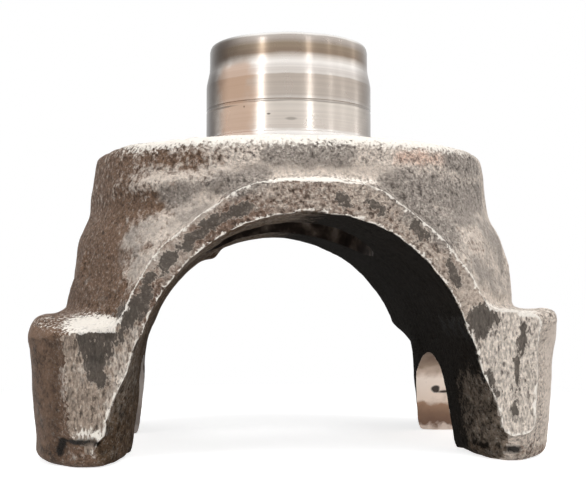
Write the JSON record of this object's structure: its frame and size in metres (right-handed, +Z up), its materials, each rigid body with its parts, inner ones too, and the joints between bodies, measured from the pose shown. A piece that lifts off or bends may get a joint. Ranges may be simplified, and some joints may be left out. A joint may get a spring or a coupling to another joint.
{
  "type": "half-round end yoke for a transmission output shaft",
  "caption": "Forged steel end yoke with a ground seal journal, splined bore and half-round seats for the bearing cups of a universal joint.",
  "frame": {"origin": "on the shaft axis, in the plane of the four prong ends that the yoke stands on", "axes": "+Z up along the shaft axis towards the hub's end face, +X across the two bearing ears along the cross axis, +Y through the arch"},
  "size_m": [0.204, 0.168, 0.1665],
  "materials": {
    "steel": "forged scale, with ground and turned faces"
  },
  "bodies": {
    "root": {"yoke": "steel"}
  },
  "joints": []
}
